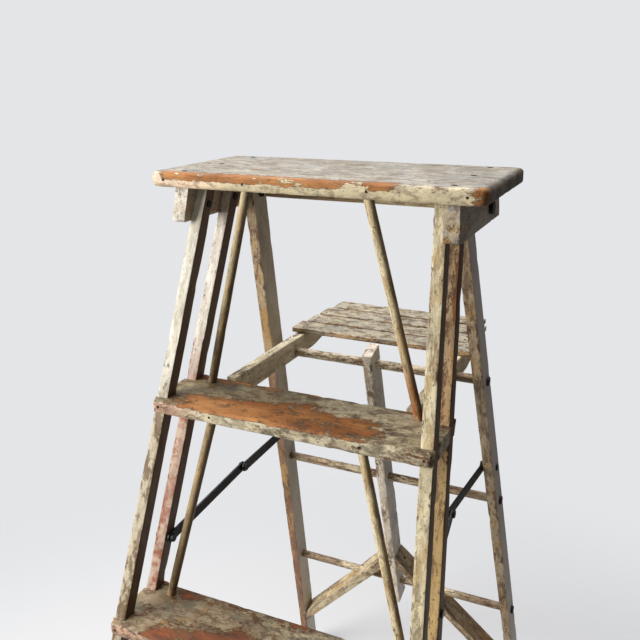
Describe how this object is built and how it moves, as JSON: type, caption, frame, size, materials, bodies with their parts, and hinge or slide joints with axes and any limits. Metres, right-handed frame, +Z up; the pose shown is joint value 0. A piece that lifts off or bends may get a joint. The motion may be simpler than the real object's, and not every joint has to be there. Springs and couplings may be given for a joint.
{
  "type": "folding wooden step ladder with pail shelf",
  "caption": "Free-standing wooden A-frame step ladder whose rear frame, pail shelf and steel spreaders fold flat against the front steps.",
  "frame": {"origin": "on the floor, under the centre of the standing ladder's bounding box", "axes": "+Z up, -Y towards the side that the user climbs, +X to the user's right when facing the ladder's treads"},
  "size_m": [0.546, 0.9342, 1.22],
  "materials": {
    "weathered_cap_paint": "worn paint, weathered grey wood showing",
    "worn_tread_paint": "chipped cream paint over bare orange-brown wood",
    "cream_paint_worn": "worn cream paint over brown wood",
    "cream_rod_paint": "cream paint, lightly worn",
    "mottled_rung_paint": "mottled cream and tan paint",
    "grey_slat_wood": "bare weathered wood",
    "black_steel": "black, dull",
    "rusty_steel": "dark rusted steel"
  },
  "bodies": {
    "front_section": {"cap_board": "weathered_cap_paint", "cheek_bracket_left": "cream_paint_worn", "cheek_bracket_right": "cream_paint_worn", "front_rail_left": "cream_paint_worn", "front_rail_right": "cream_paint_worn", "back_rail_left": "cream_paint_worn", "back_rail_right": "cream_paint_worn", "tread_upper": "worn_tread_paint", "tread_middle": "worn_tread_paint", "tread_lower": "worn_tread_paint", "sway_rod_upper_left": "cream_rod_paint", "sway_rod_upper_right": "cream_rod_paint", "sway_rod_middle_left": "cream_rod_paint", "sway_rod_middle_right": "cream_rod_paint", "sway_rod_lower_left": "cream_rod_paint", "sway_rod_lower_right": "cream_rod_paint", "stop_rod": "mottled_rung_paint", "pivot_bolts": "black_steel", "pivot_washers": "black_steel", "cap_screws": "rusty_steel", "cap_nails": "rusty_steel", "tread_nails": "rusty_steel", "bracket_bolts": "black_steel", "spreader_front_bolts": "black_steel", "spreader_front_washers": "black_steel"},
    "rear_frame": {"rear_rail_left": "cream_paint_worn", "rear_rail_right": "cream_paint_worn", "centre_stile": "cream_paint_worn", "rung_upper": "mottled_rung_paint", "rung_middle": "mottled_rung_paint", "rung_lower": "mottled_rung_paint", "diagonal_brace_left": "cream_paint_worn", "diagonal_brace_right": "cream_paint_worn", "brace_screws": "rusty_steel", "spreader_rear_bolts": "black_steel", "spreader_rear_washers": "black_steel"},
    "pail_shelf": {"shelf_arm_left": "cream_paint_worn", "shelf_arm_right": "cream_paint_worn", "shelf_slat_1": "grey_slat_wood", "shelf_slat_2": "grey_slat_wood", "shelf_slat_3": "grey_slat_wood", "shelf_slat_4": "grey_slat_wood", "slat_nails": "rusty_steel"},
    "front_link_left": {"spreader_front_link_left": "black_steel", "knee_rivet_left": "black_steel"},
    "rear_link_left": {"spreader_rear_link_left": "black_steel", "knee_burr_left": "black_steel"},
    "front_link_right": {"spreader_front_link_right": "black_steel", "knee_rivet_right": "black_steel"},
    "rear_link_right": {"spreader_rear_link_right": "black_steel", "knee_burr_right": "black_steel"}
  },
  "joints": [
    {"name": "rear_fold", "type": "hinge", "parent": "front_section", "child": "rear_frame", "pos_m": [0, 0.0725, 1.172], "axis": [-1, 0, 0], "range_deg": [0, 36.4]},
    {"name": "shelf_fold", "type": "hinge", "parent": "rear_frame", "child": "pail_shelf", "pos_m": [0, 0.16506, 0.882], "axis": [1, 0, 0], "range_deg": [0, 109]},
    {"name": "spreader_front_left", "type": "hinge", "parent": "front_section", "child": "front_link_left", "pos_m": [-0.199, -0.15237, 0.684], "axis": [1, 0, 0], "range_deg": [0, 88.6]},
    {"name": "spreader_rear_left", "type": "hinge", "parent": "rear_frame", "child": "rear_link_left", "pos_m": [-0.188, 0.22186, 0.704], "axis": [-1, 0, 0], "range_deg": [0, 21.2]},
    {"name": "spreader_front_right", "type": "hinge", "parent": "front_section", "child": "front_link_right", "pos_m": [0.199, -0.15237, 0.684], "axis": [1, 0, 0], "range_deg": [0, 88.6]},
    {"name": "spreader_rear_right", "type": "hinge", "parent": "rear_frame", "child": "rear_link_right", "pos_m": [0.188, 0.22186, 0.704], "axis": [-1, 0, 0], "range_deg": [0, 21.2]}
  ],
  "couplings": [
    {"joint": "shelf_fold", "follows": "rear_fold", "ratio": 2.986},
    {"joint": "spreader_front_left", "follows": "rear_fold", "ratio": 2.4335},
    {"joint": "spreader_rear_left", "follows": "rear_fold", "ratio": 0.5795},
    {"joint": "spreader_front_right", "follows": "rear_fold", "ratio": 2.4335},
    {"joint": "spreader_rear_right", "follows": "rear_fold", "ratio": 0.5795}
  ]
}
